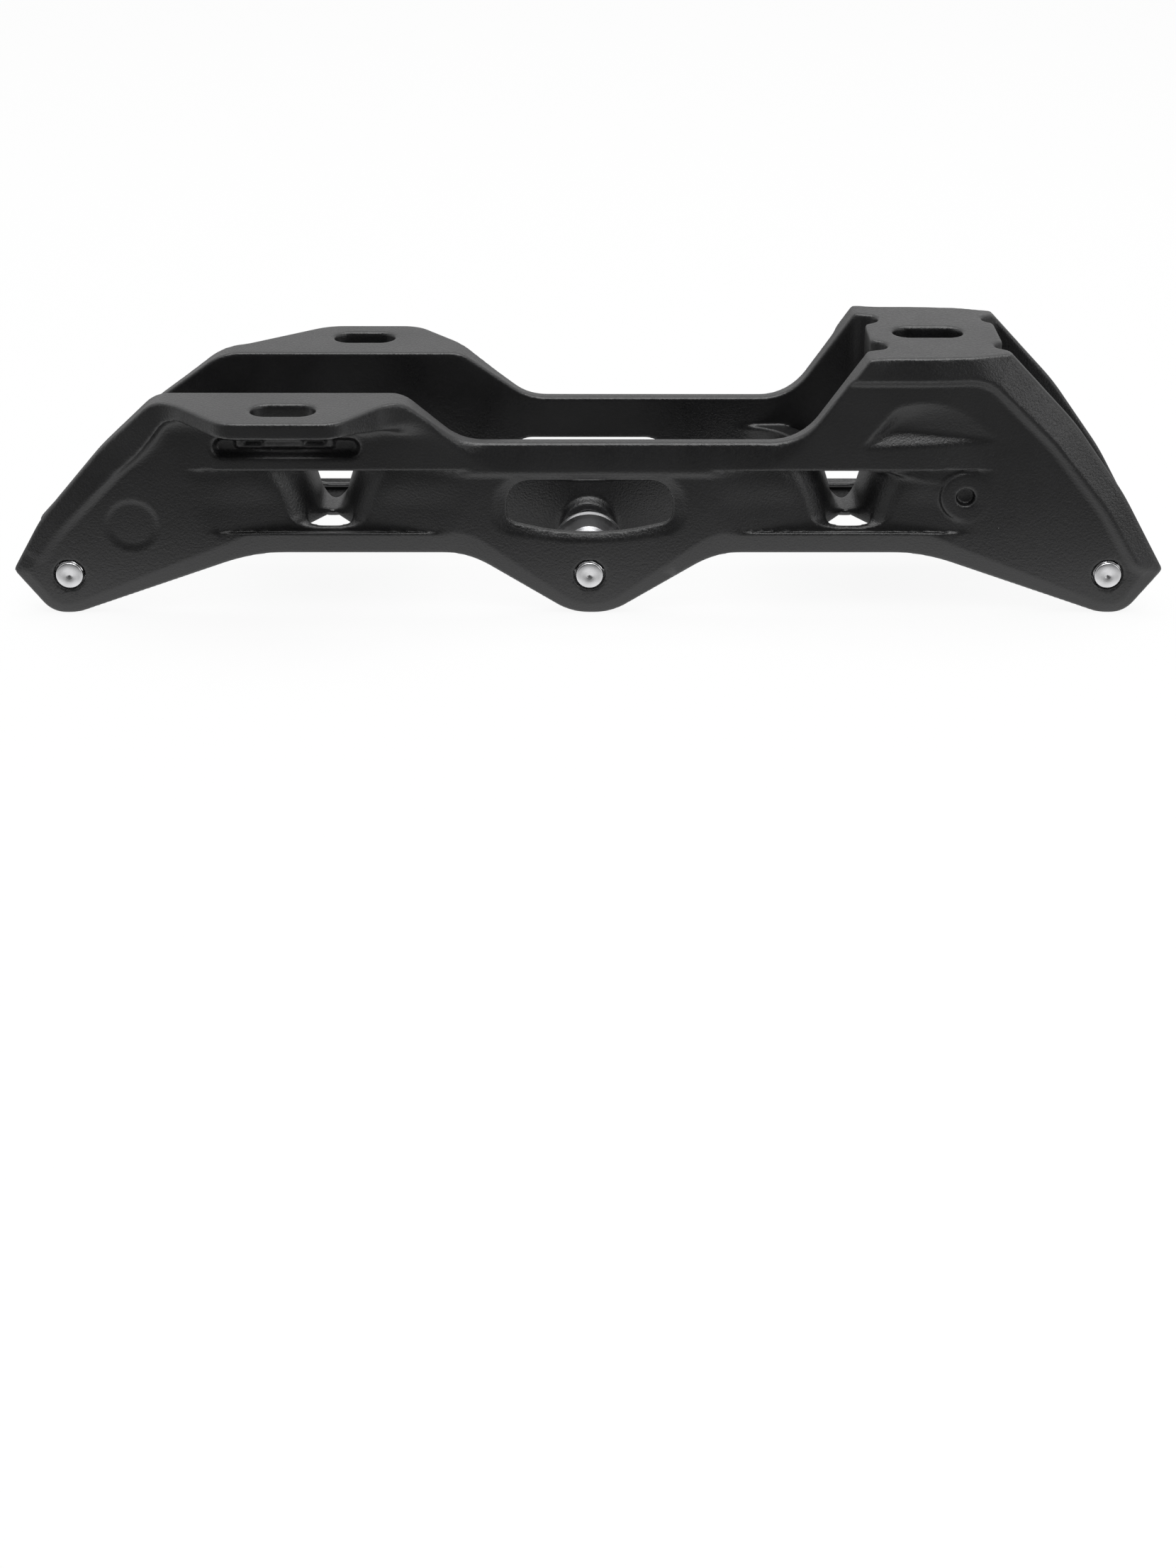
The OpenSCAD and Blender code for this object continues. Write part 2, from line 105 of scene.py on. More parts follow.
class CastingSizes(bpy.types.PropertyGroup):
    """Sizes of the casting."""

    axle_spacing: length("Axle spacing", "Distance between neighbouring axles", 127.5)
    axle_height: length("Axle height", "Height of the axles above the lowest point", 10.6)
    wheel_diameter: length("Wheel", "Largest wheel that the wells clear", 110)
    wheel_room: length("Wheel room", "Room around a wheel in its well", 2.7)
    wall_gap: length("Wall gap", "Distance between the inner faces of the walls", 29.6)
    wall_thickness: length("Wall thickness", "Thickness of a wall with its raised panel", 4.2)
    band_depth: length("Band depth", "How far the band along the lower edge slopes in", 1.0)
    rear_bevel: length("Rear bevel", "How far the band along the heel's rear edge slopes in", 3.0)
    shoulder: length("Shoulder", "Width of the soft flare under the upper edge", 2.8)
    rail_shoulder: length("Rail shoulder", "Width of the soft flare under the rail", 2.3)
    rail_lean: length("Rail lean", "How far the upper rail leans in towards its top", 1.3)
    rail_proud: length("Rail", "How far the upper rail stands out from the panel", 0.8)
    toe_proud: length("Toe edge", "How far the upper edge stands out beside the toe tab", 1.4)
    hollow_skin: length("Hollow skin", "Thickness of the metal around a wheel in a hollow", 2.7)
    end_overhang: length("End overhang", "How far each end runs past its axle", 13.8)
    belly_height: length("Belly height", "Height of the lower edge between the axles", 15.8)
    waist_height: length("Waist height", "Height of the top edge at the middle", 44.9)
    rail_height: length("Rail height", "Height of the crease under the upper rail", 38.1)
    sill_height: length("Sill height", "Height of the sill under the side hollows", 21.9)
    floor_height: length("Floor height", "Height of the top of a brace's floor", 21.9)
    floor_thickness: length("Floor thickness", "Thickness of a brace's floor", 1.5)
    toe_height: length("Toe height", "Height of the toe tabs' seats", 56.7)
    heel_height: length("Heel height", "Height of the heel deck's seat", 67.3)
    tab_reach: length("Tab reach", "Distance from the middle to a tab's outer edge", 37.9)
    tab_thickness: length("Tab thickness", "Thickness of a toe tab", 4.0)
    toe_slot_x: length("Toe slot", "Centre of the medial toe slot along the frame", -72.7)
    tab_stagger: length("Tab stagger", "How far the lateral tab sits behind the medial one", 15.5)
    toe_slot_y: length("Toe slot offset", "Distance from the middle to a toe slot", 27.9)
    toe_slot_length: length("Toe slot length", "Length of a toe slot", 15.3)
    toe_slot_width: length("Toe slot width", "Width of a toe slot", 7.9)
    heel_slot_x: length("Heel slot", "Centre of the heel slot along the frame", 82.8)
    heel_slot_length: length("Heel slot length", "Length of the heel slot", 17.1)
    heel_slot_width: length("Heel slot width", "Width of the heel slot", 8.0)
    deck_flare: length("Deck flare", "How far the deck's edges stand out past the walls", 1.6)
    deck_lean: length("Deck lean", "How far the band under the deck leans in towards its top", 1.2)
    flare_height: length("Flare height", "Height of the deck's edge", 4.9)
    window_length: length("Window length", "Length of the window over the middle axle", 40.0)
    window_low: length("Window bottom", "Height of the window's lower edge", 21.3)
    window_high: length("Window top", "Height of the window's top edge", 35.0)
    rim_depth: length("Rim", "Depth of the slanted rim around the window", 1.2)
    boss_gap: length("Boss gap", "Gap between facing bosses", 25.0)
    boss_diameter: length("Boss", "Diameter of a boss at its face", 12.6)
    voxel: length("Voxel", "Grid step of the casting's surface", 0.5)


class TurnedSizes(bpy.types.PropertyGroup):
    """Sizes of the axles and the bearing spacers."""

    shaft_diameter: length("Shaft", "Diameter of the shaft", 8.0)
    thread_diameter: length("Thread", "Outside diameter of the thread", 7.0)
    thread_pitch: length("Thread pitch", "Distance between turns of the thread", 1.0)
    tip_proud: length("Tip", "How far a tip stands out of the medial wall", 0.4)
    head_diameter: length("Head", "Diameter of the head", 11.4)
    head_thickness: length("Head thickness", "Thickness of the head", 3.2)
    socket_width: length("Socket", "Width of the key socket across its flats", 5.0)
    socket_depth: length("Socket depth", "Depth of the key socket", 2.0)
    spacer_length: length("Spacer length", "Length of the sleeve", 10.3)
    spacer_diameter: length("Spacer", "Diameter of the sleeve", 11.1)
    spacer_bore: length("Spacer bore", "Diameter of the sleeve's bore", 8.1)
    flange_diameter: length("Flange", "Diameter of the flange", 17.9)
    flange_thickness: length("Flange thickness", "Thickness of the flange", 1.95)


class Finishes(bpy.types.PropertyGroup):
    """Colours and finishes."""

    coat: colour("Coat", "Black coat of the casting", (0.007, 0.007, 0.0075))
    coat_roughness: share("Coat roughness", "Roughness of the black coat", 0.36)
    coat_gloss: share("Coat gloss", "Strength of the black coat's gloss", 0.66)
    grain: length("Coat grain", "Size of the grain in the black coat", 0.55)
    steel: colour("Steel", "Turned steel of the axles", (0.74, 0.74, 0.75))
    steel_roughness: share("Steel roughness", "Roughness of the turned steel", 0.26)
    alloy: colour("Alloy", "Turned alloy of the spacers", (0.80, 0.80, 0.81))
    alloy_roughness: share("Alloy roughness", "Roughness of the turned alloy", 0.34)
    floor: colour("Floor", "Pale floor", (0.86, 0.86, 0.86))


class FrameSettings(bpy.types.PropertyGroup):
    """All settings of the skate frame."""

    casting: PointerProperty(type=CastingSizes)
    turned: PointerProperty(type=TurnedSizes)
    finishes: PointerProperty(type=Finishes)


class Millimetres:
    """The lengths of a property group in millimetres, under their own names."""

    def __init__(self, group):
        for name in group.__annotations__:
            setattr(self, name, getattr(group, name) / MM)


# Outlines

def rounded(corners):
    """Closed outline of (x, y, radius) corners, each drawn as an arc."""
    points = []
    for i, (x, y, radius) in enumerate(corners):
        q = np.array((x, y))
        a = np.array(corners[i - 1][:2]) - q
        b = np.array(corners[(i + 1) % len(corners)][:2]) - q
        a, b = a / np.linalg.norm(a), b / np.linalg.norm(b)
        half = math.acos(float(np.clip(a @ b, -1, 1))) / 2
        centre = q + (a + b) / np.linalg.norm(a + b) * radius / math.sin(half)
        start = q + a * radius / math.tan(half) - centre
        turn = (math.pi - 2 * half) * math.copysign(1, b[0] * a[1] - b[1] * a[0])
        begin = math.atan2(start[1], start[0])
        for k in range(ARC_STEPS + 1):
            angle = begin + turn * k / ARC_STEPS
            points.append(centre + radius * np.array((math.cos(angle), math.sin(angle))))
    return np.array(points)


def inset(corners, widths):
    """The corners with each side moved in, by a width at its start and one at its end."""
    moved = []
    for i, (x, y, _, radius) in enumerate(corners):
        q = np.array((x, y))
        u = q - np.array(corners[i - 1][:2])
        v = np.array(corners[(i + 1) % len(corners)][:2]) - q
        u, v = u / np.linalg.norm(u), v / np.linalg.norm(v)
        q = q + (widths[i - 1][1] * v - widths[i][0] * u) / (u[0] * v[1] - u[1] * v[0])
        moved.append((q[0], q[1], radius))
    return moved


def chain_distance(points, closed, across, along):
    """Distance to a line of points, and which places lie inside it if it is closed."""
    px, py = np.broadcast_arrays(across, along)
    nearest = np.full(px.shape, 1e12)
    inside = np.zeros(px.shape, bool)
    ends = np.roll(points, -1, axis=0) if closed else points[1:]
    for (ax, ay), (bx, by) in zip(points, ends):
        ex, ey = bx - ax, by - ay
        run = ex * ex + ey * ey
        if run < 1e-12:
            continue
        wx, wy = px - ax, py - ay
        t = np.clip((wx * ex + wy * ey) / run, 0, 1)
        nearest = np.minimum(nearest, (wx - ex * t) ** 2 + (wy - ey * t) ** 2)
        if closed and ay != by:
            crosses = (ay <= py) != (by <= py)
            inside ^= crosses & (px < ax + wy * ex / ey)
    return np.sqrt(nearest), inside


def outline_distance(points, across, along):
    """Signed distance to a closed outline, negative inside."""
    distance, inside = chain_distance(points, True, across, along)
    return np.where(inside, -distance, distance)


def wall_corners(s, shift):
    """Wall outline as (x, z, radius, panel's radius), with the toe tab moved back by shift."""
    a, tip, low = s.axle_spacing, s.axle_spacing + s.end_overhang, s.axle_height + 0.8
    front, rear = deck_ends(s)
    run, rise, toe = tip - rear - 2.2, s.heel_height - low, s.toe_height - low
    slot, lag = s.toe_slot_x + shift, shift / s.tab_stagger
    return [
        # Lower edge, from the toe's tip over the three lobes to the heel's tip.
        (-tip, low, 1.2, 1), (-a - 5, 0, 7, 4), (-a + 1.3, 0, 12, 8),
        (-a + 45.2, s.belly_height, 46, 20), (-29.8, s.belly_height, 22, 14),
        (-4.4, 0, 15, 11), (5.4, 0, 15, 11),
        (31, s.belly_height, 22, 14), (a - 45.6, s.belly_height, 46, 20),
        (a - 1.4, 0, 12, 8), (a + 5, 0, 7, 4), (tip, low, 1.2, 1),
        # Upper edge, over the heel, the waist and the toe tab.
        (tip - 0.2663 * run, low + 0.3506 * rise, 60, 50),
        (tip - 0.5869 * run, low + 0.678 * rise, 60, 50),
        (rear + 2.2, s.heel_height, 1.5, 11), (front - 2.6, s.heel_height, 1.5, 1.5),
        (front - 18.2, s.waist_height, 14, 18), (slot + 41.6 + 0.4 * lag, s.waist_height, 14, 14),
        (slot + 27.7 - 2.7 * lag, s.toe_height, 8, 5),
        (slot - 31.8 - 3.3 * lag, s.toe_height, 8 + 6 * lag, 5),
        (-tip + 23 + shift / 2, low + 0.7064 * toe, 60, 50),
        (-tip + 7.3 + 0.3 * shift, low + 0.2914 * toe, 40, 36),
    ]


def panel_widths(s):
    """Width of the band at the start and the end of each side of the wall outline."""
    lobe, belly, rail = 2.9, s.sill_height - s.belly_height, s.waist_height - s.rail_height
    slope = belly - 0.6
    return [
        (3.1, lobe), (lobe, lobe), (lobe, slope), (belly, belly), (slope, lobe), (lobe, lobe),
        (lobe, slope), (belly, belly), (slope, lobe), (lobe, lobe), (lobe, 4),
        (4.8, 5.3), (5.3, 6.3), (6.3, 7.2), (s.flare_height, s.flare_height), (1.2, 1.2),
        (rail, rail), (1.2, 1.2), (7.6, 7.6), (7.2, 5.9), (5.9, 4.3), (4.3, 3.3),
    ]


def deck_ends(s):
    """Front and rear of the heel deck along the frame."""
    half = s.heel_slot_length / 2
    return s.heel_slot_x - half - 5.2, s.heel_slot_x + half + 7.2


# Fields of the casting, in millimetres, negative inside the metal

def smooth_min(a, b, k):
    """Union with a fillet."""
    h = np.maximum(k - np.abs(a - b), 0) / k
    return np.minimum(a, b) - h * h * (k / 4)


def smooth_max(a, b, k):
    """Intersection with a rounded edge."""
    return -smooth_min(-a, -b, k)


def ease(low, high, value):
    """Smooth step from 0 to 1."""
    t = np.clip((value - low) / (high - low), 0, 1)
    return t * t * (3 - 2 * t)


def blurred(field, passes):
    """A field over (x, z) with its creases softened."""
    for _ in range(passes):
        padded = np.pad(field, 1, mode="edge")
        field = (padded[:-2] + 2 * padded[1:-1] + padded[2:])[:, 1:-1] / 4
        padded = np.pad(field, 1, mode="edge")
        field = (padded[:, :-2] + 2 * padded[:, 1:-1] + padded[:, 2:])[1:-1] / 4
    return field


def stadium(a, b, total, width):
    """Signed distance to a slot of that length and width along the first axis."""
    return np.hypot(np.maximum(np.abs(a) - (total - width) / 2, 0), b) - width / 2


class HalfCasting:
    """One half of the casting, with y measured outwards from the middle of the frame."""

    def __init__(self, s, x, y, z, shift, heads):
        self.s, self.heads = s, heads
        self.gx, self.gz = x[:, None], z[None, :]
        self.x, self.y, self.z = x[:, None, None], y[None, :, None], z[None, None, :]
        self.step = float(x[1] - x[0])
        self.half_gap = s.wall_gap / 2
        self.face = self.half_gap + s.wall_thickness
        self.slot_x, self.lag = s.toe_slot_x + shift, shift / s.tab_stagger
        corners = wall_corners(s, shift)
        self.edge_line = rounded([c[:3] for c in corners])
        self.edge = outline_distance(self.edge_line, self.gx, self.gz)
        self.panel = outline_distance(rounded(inset(corners, panel_widths(s))), self.gx, self.gz)
        flat_side = s.wheel_diameter / 2 + s.wheel_room - self.half_gap
        rim = np.minimum.reduce([
            np.hypot(self.gx - place * s.axle_spacing, self.gz - s.axle_height)
            for _, place in PLACES
        ])
        self.rim = (rim - flat_side)[:, None, :]
        self.round = np.hypot(np.maximum(self.rim, 0), self.y)

    def from_axle(self, place):
        """Distance from an axle's axis."""
        return np.hypot(self.x - place * self.s.axle_spacing, self.z - self.s.axle_height)

    def from_side_hole(self):
        """Distance from the axis of the blind hole behind the rear hollow."""
        s = self.s
        return np.hypot(self.x - s.axle_spacing + 36, self.z - s.axle_height - 20.3)

    def wheels(self):
        """Signed distance to the space that the wheels sweep."""
        return self.round - self.half_gap

    def skin(self):
        """Signed distance to the metal around the wheel spaces, thicker away from the walls."""
        shell = np.cbrt((np.maximum(self.rim, 0) * 0.907) ** 3 + self.y ** 3)
        thicker = 0.7 * smooth_min(self.rim - 2, 0 * self.rim, 6.0)
        return shell - self.half_gap - self.s.hollow_skin + thicker

    def outer_face(self):
        """Height of the wall's outer face over (x, z)."""
        s, x, z = self.s, self.gx, self.gz
        lower_points = LOWER_CORNERS * (ARC_STEPS + 1)
        to_lower, _ = chain_distance(self.edge_line[:lower_points], False, x, z)
        to_upper, _ = chain_distance(self.edge_line[lower_points - 1:], False, x, z)
        upper = ease(-2, 2, to_lower - to_upper)
        depth = np.maximum(-self.edge, -0.5)
        width = np.maximum(self.panel + depth, 1e-6)
        slant = np.clip(np.where(self.panel <= 0, 0, self.panel / width), 0, 1.2)
        front, rear = deck_ends(s)
        tip, slot = s.axle_spacing + s.end_overhang, self.slot_x
        rearward = ease(rear - 8, rear + 4, x)
        band = s.band_depth + 0.16 * (np.clip(width, 2.9, 6.5) - 2.9)
        # How far the upper edge stands out, beside the toe tab and round the heel's rear corner.
        proud = s.toe_proud * ease(-tip, slot - 38, x) * (1 - ease(slot - 42, slot - 30, x))
        corner = ease(rear - 24, rear - 14, x)
        proud = proud + s.deck_flare * corner * (1 - 0.4 * ease(rear, rear + 24, x))
        flare = 1 - ease(0, s.shoulder, -self.panel)
        # How far it leans in towards its top, at the toe, the rail, the deck and the rear.
        lean = 0.24 * np.maximum(self.panel, 0) * (1 - ease(slot - 46, slot - 32, x))
        lean = lean + slant ** 1.4 * s.rail_lean * self.middle()
        lean = lean + slant * s.deck_lean * ease(front - 4, front + 4, x) * (1 - rearward)
        lean = lean + slant * rearward * (s.rear_bevel - 1.2 * ease(rear + 12, tip, x))
        height = self.face - band * slant * (1 - upper) + (proud * flare - lean) * upper
        rail = s.rail_proud * ease(-98, -86, x) * (1 - ease(80, 93, x))
        height = height + rail * self.ledge(s.rail_height, s.rail_shoulder)
        height = height + 0.03 * np.maximum(z - s.rail_height, 0) * ease(50, 66, x) * (1 - rearward)
        deck = s.deck_flare * ease(40, 56, x) * (1 - corner)
        height = height + deck * self.ledge(s.heel_height - s.flare_height, s.shoulder)
        return height + self.small_features()

    def ledge(self, height, drop):
        """1 above a height, running out softly below it."""
        return 1 - ease(0, drop, height - self.gz)

    def middle(self):
        """1 along the upper rail between the toe tab and the heel."""
        return ease(self.slot_x + 28, self.slot_x + 42, self.gx) * (1 - ease(44, 58, self.gx))

    def small_features(self):
        """Recesses and raised places on the outer face."""
        s, x, z = self.s, self.gx, self.gz
        change = np.zeros(np.broadcast(x, z).shape)
        # Round recess on the toe.
        toe = np.hypot(x + s.axle_spacing - 16, z - s.axle_height - 13.2)
        change -= 0.45 * (1 - ease(5.7, 6.5, toe))
        # Pocket under the tab, with a pierced bar along its top.
        px, pz = x - self.slot_x + 0.5, z - s.toe_height + 12.6
        pocket = stadium(px, pz, 35.7, 4.9)
        bar = ease(-0.7, -0.2, pz) * (1 - ease(11.6, 12.2, np.abs(px + 0.4)))
        for centre, half in ((-8.2, 2.6), (6.8, 2.7)):
            opening = (1 - ease(half - 0.3, half + 0.3, np.abs(px - centre))) * ease(0.0, 0.5, pz)
            bar = bar * (1 - opening)
        depth = (2.4 - 1.5 * bar) * (1 - ease(-1.1, 0.3, pocket))
        change -= depth
        change -= self.scoop()
        # Rim of the window.
        window, rim = self.window_lines()
        rise = np.clip(-rim / np.maximum(window - rim, 1e-6), 0, 1)
        change -= s.rim_depth * np.where(rim < 0, rise, 0)
        return blurred(change, 1)

    def scoop(self):
        """Depth of the scoop under the heel deck, which runs out towards the rear."""
        s = self.s
        u, v = self.gx - s.heel_slot_x, self.gz - s.rail_height
        # Start, end and slope of each side.
        sides = (
            (-16.9, 6.9, -9.6, 16.6, 0.7), (-9.8, 16.4, -4.6, 18.1, 0.5),
            (-4.6, 18.1, 2.4, 17.6, 0.42), (2.4, 17.6, 8, 15.2, 0.34),
            (7, 15.8, 17, 6.9, 0.2), (15.1, 7.4, -14, 6.0, 0.75),
        )
        depth = np.full(np.broadcast(u, v).shape, 2.5)
        for x0, y0, x1, y1, slope in sides:
            inward = ((u - x0) * (y1 - y0) - (v - y0) * (x1 - x0)) / math.hypot(x1 - x0, y1 - y0)
            depth = smooth_min(depth, slope * inward, 0.6)
        return np.maximum(depth, 0)

    def window_lines(self):
        """Signed distances to the window and to the outer line of its rim."""
        s, half = self.s, self.s.window_length / 2
        low, high = s.window_low + 1.3 * self.lag, s.window_high - 0.9 * self.lag
        window = rounded([
            (-half, low + 3.2, 3), (-half / 2, low + 0.9, 40), (0, low, 60),
            (half / 2, low + 0.9, 40), (half, low + 3.2, 3), (half, high, 5.5), (-half, high, 5.5),
        ])
        rim = rounded([
            (-half - 4, low + 0.8, 6), (0, low - 2.4, 80), (half + 4, low + 0.8, 6),
            (half + 4, high + 1.9, 8), (-half - 4, high + 1.9, 8),
        ])
        return (outline_distance(line, self.gx, self.gz) for line in (window, rim))

    def wall(self):
        """The wall with its two side hollows and its toe tab, without its edge."""
        s = self.s
        height = self.outer_face()
        tilt = np.sqrt(1 + sum(g * g for g in np.gradient(height, self.step)))
        outer = (self.y - height[:, None, :]) / np.minimum(tilt, 2.0)[:, None, :]
        # The hollows' sill falls away inwards.
        sill = self.z - s.sill_height + 0.45 * np.clip(self.face - self.y, 0, 5)
        behind = smooth_min(self.skin(), sill, 2.4)
        solid = smooth_max(outer, behind, 6 - 3.5 * ease(27, 36, self.z))
        for bound in (sill, s.rail_height - 2.4 * self.lag - self.z):
            solid = np.minimum(solid, smooth_max(outer, bound, 0.3))
        pad = smooth_max(self.from_side_hole() - SIDE_PAD_RADIUS, self.y - self.face + 0.3, 0.9)
        solid = smooth_min(solid, pad, 0.8)
        from_slot = self.x - self.slot_x
        fillet = 2 + 2.4 * ease(-42, -32, from_slot) - 1.4 * ease(-20, -10, from_slot)
        solid = smooth_min(solid, self.tab(), fillet)
        return smooth_max(solid, self.half_gap - self.y, 0.6)

    def tab(self):
        """Toe tab, which runs out into the wall's upper edge at both ends."""
        s, u = self.s, self.x - self.slot_x
        wall, reach, lag = self.face, s.tab_reach, self.lag
        plan = rounded([
            (-64, 5, 1), (-52, wall - 2.4, 16), (-40 + lag, wall + 0.9, 15),
            (-27 - 4 * lag, wall + 4.6 - 1.6 * lag, 16), (-14 + 4 * lag, reach, 9 + 3 * lag),
            (13.3, reach, 8), (23.5 + 1.5 * lag, wall + 5.6 - 1.2 * lag, 12),
            (38, wall - 1.2, 12), (46, wall - 6, 10), (58, 5, 1),
        ])
        flat = outline_distance(plan, u[:, :, 0], self.y[:, :, 0])[:, :, None]
        gusset = 0.6 * ease(12, 18, u) * (1 - ease(21, 30, u)) * np.clip(-flat, 0, 6)
        # Towards its ends the tab's underside passes into the panel's upper line.
        run_out = ease(15, 29, np.where(u < 0, -u - 9.5, u))
        below = (1 - run_out) * (-self.edge[:, None, :] - s.tab_thickness - gusset) * 0.75
        below = below - run_out * self.panel[:, None, :]
        under = np.maximum(below, s.rail_height + 1 - self.z)
        return smooth_max(flat, under, 0.8 + 3 * ease(20, 30, u))

    def braces(self):
        """Both cross braces: columns between the wells, and floors with three-cornered holes."""
        s = self.s
        bottom = s.floor_height - s.floor_thickness
        columns = smooth_max(self.skin(), self.z - s.rail_height + 0.5, 1.0)
        solid = smooth_min(columns, self.z - s.floor_height, 3.4)
        half_hole, corner, wide_end = 6.6, 1.4, self.half_gap - 1.2
        for place in (-0.5, 0.5):
            centre = place * s.axle_spacing
            hole = rounded([
                (centre, 3.4, corner), (centre + half_hole, wide_end, corner),
                (centre - half_hole, wide_end, corner),
            ])
            flat = outline_distance(hole, self.x[:, :, 0], self.y[:, :, 0])[:, :, None]
            solid = smooth_max(solid, -np.maximum(flat, self.z - s.floor_height - 4), 0.6)
        pad = np.hypot(np.abs(self.x) - s.axle_spacing / 2, self.y)
        solid = smooth_max(solid, bottom + 0.4 * ease(4.0, 4.6, pad) - self.z, 1.0)
        solid = smooth_max(solid, 0.4 - self.wheels(), 1.0)
        return np.maximum(solid, self.y - self.half_gap - 1)

    def deck(self):
        """Heel deck between the walls, without its top."""
        s = self.s
        front, rear = deck_ends(s)
        block = smooth_max(front - 1 - self.x, self.x - rear - 1.5, 1.0)
        for at, radius in ((front - 1, 3.6), (rear + 1.5, 2.4)):
            notch = np.hypot(self.x - at, self.y - self.half_gap + 4.2) - radius
            block = smooth_max(block, -notch, 1.8)
        block = smooth_max(block, s.rail_height - 2 - self.z, 1.0)
        block = smooth_max(block, 0.4 - self.wheels(), 1.2)
        return np.maximum(block, self.y - self.half_gap - 1)

    def field(self):
        """Signed field of the whole half."""
        s = self.s
        solid = self.wall()
        solid = smooth_min(solid, self.braces(), 0.5)
        solid = smooth_min(solid, self.deck(), 2.8)
        for _, place in PLACES:
            cone = self.from_axle(place) - s.boss_diameter / 2 - 0.52 * (self.y - s.boss_gap / 2)
            boss = smooth_max(cone, s.boss_gap / 2 - self.y, 0.6)
            solid = smooth_min(solid, np.maximum(boss, self.y - self.half_gap - 1), 1.0)
        solid = smooth_max(solid, self.edge[:, None, :], 0.7)
        window, _ = self.window_lines()
        draft = 0.27 * (1 - self.lag)
        opening = window[:, None, :] - draft * np.clip(self.face - 0.9 - self.y, 0, 4)
        solid = smooth_max(solid, -np.maximum(opening, 8 - self.y), 0.5)
        return self.holes(solid)

    def holes(self, solid):
        """The casting with its slots, bores and recesses cut."""
        s = self.s
        toe = stadium(
            self.x - self.slot_x, self.y - s.toe_slot_y, s.toe_slot_length, s.toe_slot_width
        )
        solid = smooth_max(solid, -toe, 0.8)
        heel = stadium(self.x - s.heel_slot_x, self.y, s.heel_slot_length, s.heel_slot_width)
        solid = smooth_max(solid, -np.maximum(heel, 30 - self.z), 0.8)
        blind = np.maximum(
            self.from_side_hole() - SIDE_HOLE_RADIUS, self.face - SIDE_HOLE_DEPTH - self.y
        )
        solid = smooth_max(solid, -blind, 0.6)
        bore = CLEAR_BORE if self.heads else THREAD_BORE
        for _, place in PLACES:
            axis = self.from_axle(place)
            solid = smooth_max(solid, bore - axis, 0.3)
            if self.heads:
                recess = np.maximum(axis - RECESS_RADIUS, self.face - RECESS_DEPTH - self.y)
                solid = smooth_max(solid, -recess, 0.4)
        return solid


def casting_surface(s):
    """Points in metres and quads of the casting's surface."""
    step, margin = s.voxel, 2
    long = math.ceil((s.axle_spacing + s.end_overhang + margin) / step)
    wide = math.ceil((s.tab_reach + margin) / step)
    high = math.ceil((s.heel_height + margin) / step)
    x, y = np.arange(-long, long + 1) * step, np.arange(0, wide + 1) * step
    z = np.arange(-math.ceil(margin / step), high + 1) * step
    x, y, z = (axis.astype(np.float32) for axis in (x, y, z))
    medial = HalfCasting(s, x, y, z, 0.0, False).field()
    lateral = HalfCasting(s, x, y, z, s.tab_stagger, True).field()
    full = np.concatenate((medial[:, :0:-1], lateral), axis=1)
    reach = 3 * step
    full = np.clip(full, -reach, reach).astype(np.float32)
    grid = openvdb.FloatGrid(reach)
    grid.copyFromArray(full)
    points, quads = grid.convertToQuads(0.0)
    origin = np.array((x[0], -y[-1], z[0]))
    return (points * step + origin) * MM, quads


# Meshes

def mesh_object(name, points, faces, smooth=True):
    """New object in the scene from points and faces."""
    mesh = bpy.data.meshes.new(name)
    mesh.from_pydata(np.asarray(points).tolist(), [], faces)
    mesh.validate()
    if smooth:
        mesh.shade_smooth()
    piece = bpy.data.objects.new(name, mesh)
    bpy.context.scene.collection.objects.link(piece)
    return piece


def settle(piece):
    """Applies a piece's modifiers to its mesh."""
    graph = bpy.context.evaluated_depsgraph_get()
    mesh = bpy.data.meshes.new_from_object(piece.evaluated_get(graph))
    piece.modifiers.clear()
    piece.data = mesh


def turned_object(name, loops, closed):
    """Piece turned about the y axis from loops of (radius, distance along y).

    A radius is a number, or one number per point of the loop.
    """
    points, faces, count = [], [], TURNED_POINTS
    for radius, along in loops:
        along = np.full(count, along)
        points.append(np.column_stack((radius * np.cos(TURN), along, radius * np.sin(TURN))))
    joins = len(loops) if closed else len(loops) - 1
    for i in range(joins):
        a, b = i * count, (i + 1) % len(loops) * count
        for k in range(count):
            n = (k + 1) % count
            faces.append((a + k, a + n, b + n, b + k))
    points = np.concatenate(points) * MM
    if not closed:
        for loop, order in ((0, -1), (len(loops) - 1, 1)):
            ring = [loop * count + k for k in range(count)]
            faces.append(ring[::order])
    piece = mesh_object(name, points, faces)
    piece.data.set_sharp_from_angle(angle=SHARP_ANGLE)
    return piece


def hexagon(width):
    """Radius of a six-sided hole at each point of a turned loop."""
    return width / 2 / np.cos((TURN + math.pi / 6) % (math.pi / 3) - math.pi / 6)


class SKATE_OT_casting(bpy.types.Operator):
    """Build the cast frame as one smooth piece"""

    bl_idname = "skate.casting"
    bl_label = "Cast Frame"

    def execute(self, context):
        settings = context.scene.skate_frame
        points, quads = casting_surface(Millimetres(settings.casting))
        piece = mesh_object("cast_frame", points, quads.tolist())
        thin = piece.modifiers.new("thin", "DECIMATE")
        thin.ratio = min(1.0, CASTING_FACES / len(quads))
        normals = piece.modifiers.new("normals", "WEIGHTED_NORMAL")
        normals.mode, normals.weight = "FACE_AREA", 60
        settle(piece)
        piece.data.shade_smooth()
        piece.data.materials.append(coat_material(settings.finishes))
        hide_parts(*CASTING_NODES)
        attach(piece, "frame")
        return {"FINISHED"}


